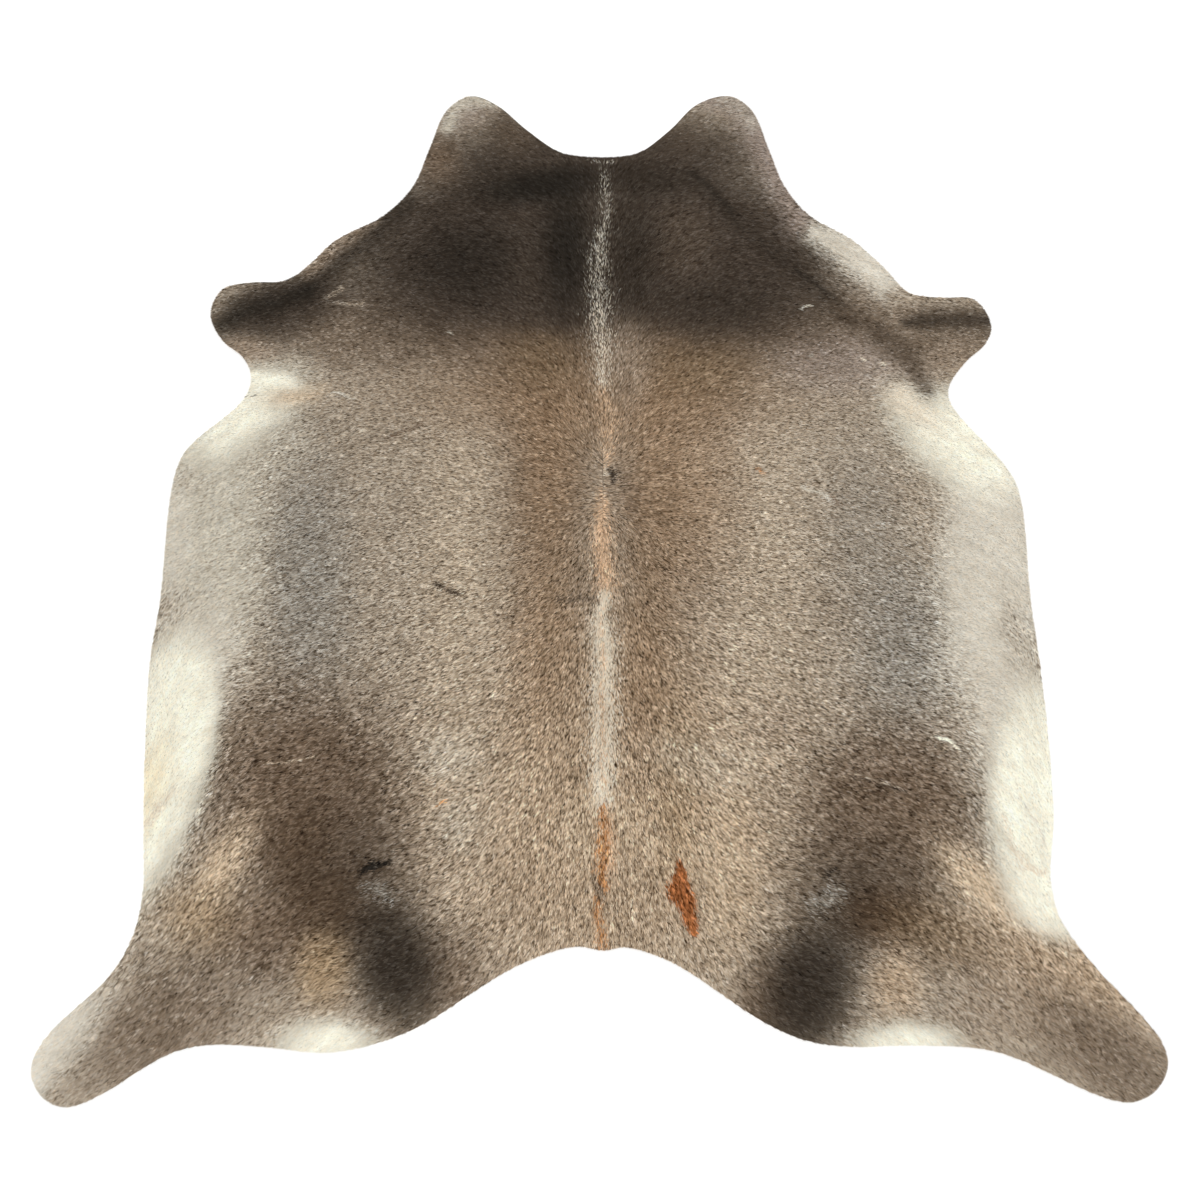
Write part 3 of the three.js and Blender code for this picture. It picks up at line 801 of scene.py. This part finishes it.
def lock_colours(locks, rim, rng):
    """Colour of each lock: the markings where it shows, its own tone with painted shade at the dark gaps, and
    a little warmth either way.

    Tones are evened out among locks of like lightness and place, so that the markings keep their colours.
    """
    wander = SHOWN_AT * locks.length + rng.normal(0.0, WANDER, locks.count)
    chance = rng.uniform(0.0, 1.0, locks.count)
    colour = coat_colour(locks.x + locks.dx * wander, locks.y + locks.dy * wander, chance)
    seen = colour @ LUMINANCE
    light = smooth((seen - 0.03) / 0.3)
    pale = smooth((seen - 0.28) / 0.34)
    shade = np.exp(lock_tones(locks, light, pale, rng)[:, None] * TONE_TINT)
    low, high = rim[:, 1].min(), rim[:, 1].max()
    zone = np.round((locks.y - low) / (high - low) * (ZONES - 1)).astype(int)
    step = np.minimum(seen * TONES, TONES - 1).astype(int) + TONES * zone
    held = np.maximum(np.bincount(step, minlength=TONES * ZONES), 1)
    usual = np.stack([np.bincount(step, shade[:, k], TONES * ZONES) for k in range(3)], axis=1)
    shade /= (usual / held[:, None])[step]
    albedo = colour / (1.0 - SELF_SHADE + SELF_SHADE * colour)
    warmth = 1.0 + rng.normal(0.0, WARMTH, locks.count)[:, None] * WARMTH_TINT
    return np.clip(albedo * warmth * shade, 0.0, 0.95)


def make_coat(rim, field, top):
    """The lying hair: thin locks that overlap towards the tail and part round short gaps."""
    rng = np.random.default_rng(SEED)
    locks = lay_locks(rim, field, top, rng)
    colours = np.repeat(lock_colours(locks, rim, rng)[:, None, :], 3, axis=1)
    bands = np.argsort(np.argsort(-locks.y)) * len(COAT_BANDS) // locks.count
    hair = coat_material()
    pieces = []
    for k, name in enumerate(COAT_BANDS):
        mine = np.flatnonzero(bands == k)
        faces = np.arange(len(mine) * 3).reshape(-1, 3)
        own = locks.corners[mine].reshape(-1, 3)
        piece = new_mesh(name, own * MM, faces, False)
        add_colours(piece.data, colours[mine].reshape(-1, 3))
        box = own[:, :2].min(0), own[:, :2].max(0)
        add_map(piece.data, "OFBake", (own[:, :2] - box[0]) / (box[1] - box[0]), faces)
        start = rng.uniform(0.0, 400.0, len(mine))
        across = np.column_stack([start - 2.0, start + 2.0, start])
        down = np.tile([0.0, 0.0, 1.1], (len(mine), 1))
        add_map(piece.data, "strands", np.column_stack([across.ravel(), down.ravel()]), faces)
        piece.data.materials.append(hair)
        pieces.append(piece)
    return pieces


def make_studio():
    """Plain pale floor, soft even light and the photo's camera."""
    corners = [(x, y, -FLOOR_DROP) for x, y in ((-1, -1), (1, -1), (1, 1), (-1, 1))]
    corners = np.array(corners, float) * (FLOOR_REACH, FLOOR_REACH, 1.0)
    ground = new_mesh("floor", corners, np.array([(0, 1, 2), (0, 2, 3)]), False)
    ground.data.materials.append(floor_material())
    world = bpy.data.worlds.new("studio")
    bpy.context.scene.world = world
    world.use_nodes = True
    sky = world.node_tree.nodes["Background"]
    sky.inputs["Color"].default_value = (1.0, 1.0, 1.0, 1.0)
    sky.inputs["Strength"].default_value = SKY_STRENGTH
    for name, strength, turn, tilt, spread in LAMPS:
        lamp = bpy.data.lights.new(name, "SUN")
        lamp.energy = strength
        lamp.angle = math.radians(spread)
        obj = bpy.data.objects.new(name, lamp)
        obj.rotation_euler = (math.radians(tilt), 0.0, math.radians(turn))
        bpy.context.scene.collection.objects.link(obj)
    lens = bpy.data.cameras.new("view")
    lens.lens = VIEW_LENS
    lens.sensor_width = VIEW_SENSOR
    eye = bpy.data.objects.new("view", lens)
    rise = math.radians(VIEW_ELEVATION)
    eye.location = Vector(VIEW_AIM) + VIEW_DISTANCE * Vector((0.0, -math.cos(rise), math.sin(rise)))
    eye.rotation_euler = (math.radians(90.0 - VIEW_ELEVATION), 0.0, 0.0)
    bpy.context.scene.collection.objects.link(eye)
    bpy.context.scene.camera = eye
    bpy.context.scene.view_settings.view_transform = "Standard"


make_studio()
solid_points, solid_faces = mesh_arrays(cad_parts["hide"])
outline = cut_edge(solid_points, solid_faces)
to_edge = edge_field(outline)
coat_top = coat_height(solid_points, solid_faces, outline)
skin = make_skin(outline, to_edge, coat_top)
coat = make_coat(outline, to_edge, coat_top)

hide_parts("hide")
for piece in [skin, *coat]:
    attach(piece, "root")
